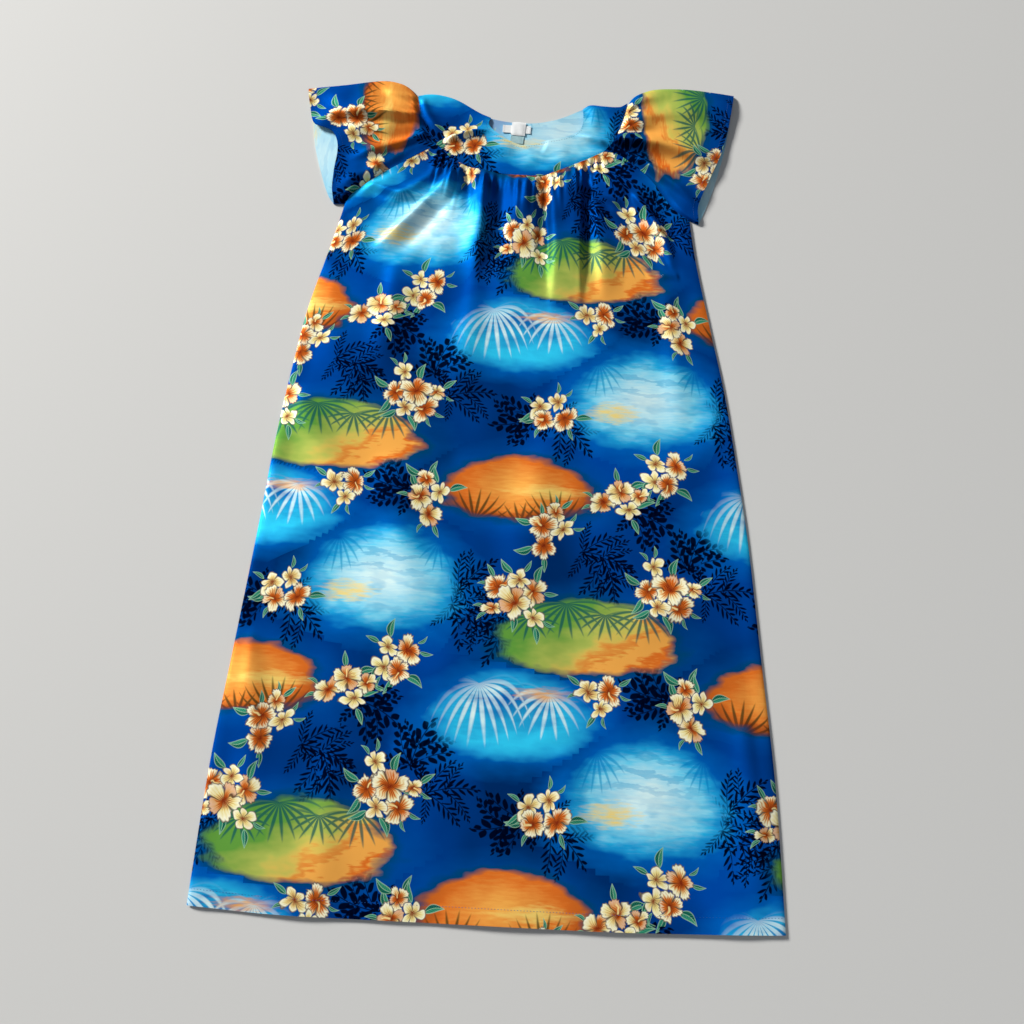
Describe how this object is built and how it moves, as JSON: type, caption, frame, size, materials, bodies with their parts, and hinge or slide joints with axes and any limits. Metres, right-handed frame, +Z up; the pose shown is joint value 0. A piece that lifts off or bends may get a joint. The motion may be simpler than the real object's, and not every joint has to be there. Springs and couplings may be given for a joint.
{
  "type": "hawaiian muumuu dress, laid flat",
  "caption": "Floor-length muumuu in a flowered print, gathered to a round yoke, with short gathered flutter sleeves, laid flat on its back as on a table or floor.",
  "frame": {"origin": "under the middle of the dress, on the surface that it lies on", "axes": "+Y from the hem to the neck, +X towards the sleeve that a viewer in front of it sees on the right, +Z up through the cloth layers"},
  "size_m": [0.828, 1.3861, 0.0212],
  "materials": {
    "print_cloth": "smooth printed cotton blend with a soft sheen, royal blue ground with flowers, leaves and airbrushed pools of aqua, orange and green; its reverse is paler",
    "label_cloth": "white woven label, blank"
  },
  "bodies": {
    "root": {"front_panel": "print_cloth", "front_yoke": "print_cloth", "sleeve_left": "print_cloth", "sleeve_right": "print_cloth", "back_panel": "print_cloth", "back_yoke": "print_cloth", "neck_label": "label_cloth", "size_tab": "label_cloth"}
  },
  "joints": []
}
